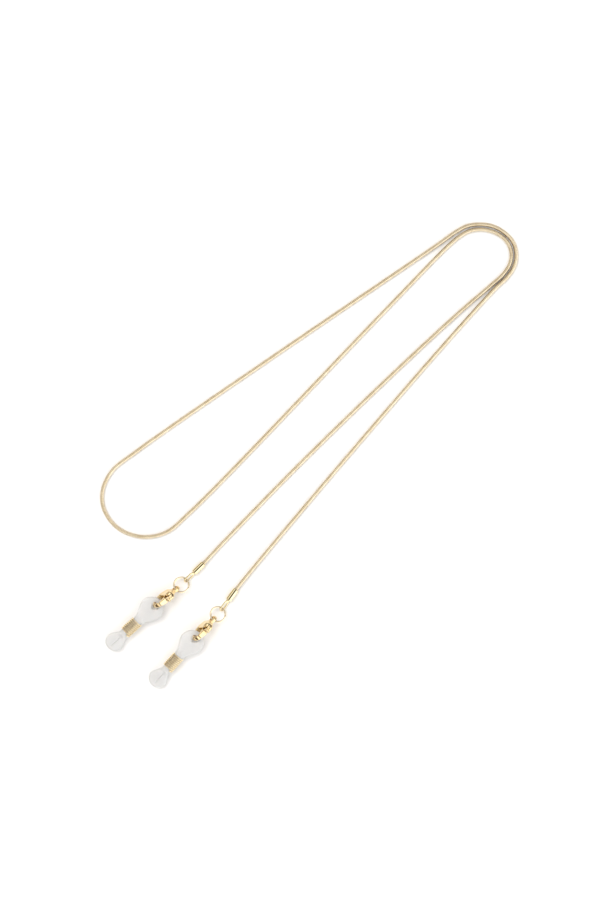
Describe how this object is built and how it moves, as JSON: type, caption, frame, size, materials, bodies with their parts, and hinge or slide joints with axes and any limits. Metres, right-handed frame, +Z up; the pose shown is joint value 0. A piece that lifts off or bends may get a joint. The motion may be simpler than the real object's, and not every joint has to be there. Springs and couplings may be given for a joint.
{
  "type": "eyeglasses chain strap",
  "caption": "Snake-chain eyeglasses strap: crimped end caps, jump rings and sprung lobster clasps holding stretchy silicone temple grips with wire adjusting coils.",
  "frame": {"origin": "on the table, under the middle of the box round the two ends without the chain", "axes": "+X to the right and +Y up the layout as it lies on the table, +Z up from the table"},
  "size_m": [0.1474, 0.1639, 0.0073],
  "materials": {
    "chain": "fine-scaled snake chain, polished gold plate",
    "cap": "polished gold plate",
    "ring": "polished pale gold plate",
    "clasp": "polished gold plate on a casting",
    "spring": "bright drawn wire",
    "coil": "drawn wire, gold plate",
    "silicone": "translucent silicone, soft sheen"
  },
  "bodies": {
    "strap": {"snake_chain": "chain", "left_end_cap": "cap", "right_end_cap": "cap"},
    "left_ring": {"left_jump_ring": "ring"},
    "left_clasp": {"left_clasp_body": "clasp", "left_clasp_rivet": "clasp", "left_clasp_spring": "spring"},
    "left_trigger": {"left_clasp_trigger": "clasp"},
    "left_grip": {"left_temple_grip": "silicone"},
    "left_coil": {"left_adjusting_coil": "coil"},
    "right_ring": {"right_jump_ring": "ring"},
    "right_clasp": {"right_clasp_body": "clasp", "right_clasp_rivet": "clasp", "right_clasp_spring": "spring"},
    "right_trigger": {"right_clasp_trigger": "clasp"},
    "right_grip": {"right_temple_grip": "silicone"},
    "right_coil": {"right_adjusting_coil": "coil"}
  },
  "joints": [
    {"name": "left_ring_swing", "type": "hinge", "parent": "strap", "child": "left_ring", "pos_m": [0.00557, 0.0161, 0.00134], "axis": [0.6984, -0.7157, 0], "range_deg": [-60, 60]},
    {"name": "left_clasp_swivel", "type": "hinge", "parent": "left_ring", "child": "left_clasp", "pos_m": [0.00376, 0.01433, 0.00201], "axis": [0.1852, 0.1808, 0.9659], "range_deg": [-60, 20]},
    {"name": "left_trigger_press", "type": "hinge", "parent": "left_clasp", "child": "left_trigger", "pos_m": [-0.00026, 0.01071, 0.00413], "axis": [0.5593, -0.7674, -0.3134], "range_deg": [0, 13], "stiffness_Nm_per_rad": 0.006, "springref_deg": -17.19, "deforming": ["left_clasp_spring"]},
    {"name": "left_grip_swing", "type": "hinge", "parent": "left_clasp", "child": "left_grip", "pos_m": [-0.00541, 0.00717, 0.00316], "axis": [0.1173, -0.128, 0.9848], "range_deg": [-10, 10]},
    {"name": "left_coil_slide", "type": "slide", "parent": "left_grip", "child": "left_coil", "axis": [-0.7431, -0.6665, -0.0601], "range_m": [0, 0.001]},
    {"name": "right_ring_swing", "type": "hinge", "parent": "strap", "child": "right_ring", "pos_m": [0.01812, 0.00598, 0.00134], "axis": [0.809, -0.5878, 0], "range_deg": [-60, 60]},
    {"name": "right_clasp_swivel", "type": "hinge", "parent": "right_ring", "child": "right_clasp", "pos_m": [0.01663, 0.00393, 0.00201], "axis": [0.1521, 0.2094, 0.9659], "range_deg": [-20, 60]},
    {"name": "right_trigger_press", "type": "hinge", "parent": "right_clasp", "child": "right_trigger", "pos_m": [0.01314, -0.0002, 0.00413], "axis": [0.6633, -0.6829, -0.3062], "range_deg": [0, 13], "stiffness_Nm_per_rad": 0.006, "springref_deg": -17.19, "deforming": ["right_clasp_spring"]},
    {"name": "right_grip_swing", "type": "hinge", "parent": "right_clasp", "child": "right_grip", "pos_m": [0.00855, -0.00444, 0.00315], "axis": [0.129, -0.1162, 0.9848], "range_deg": [-10, 10]},
    {"name": "right_coil_slide", "type": "slide", "parent": "right_grip", "child": "right_coil", "axis": [-0.6758, -0.7347, -0.0601], "range_m": [0, 0.001]}
  ]
}
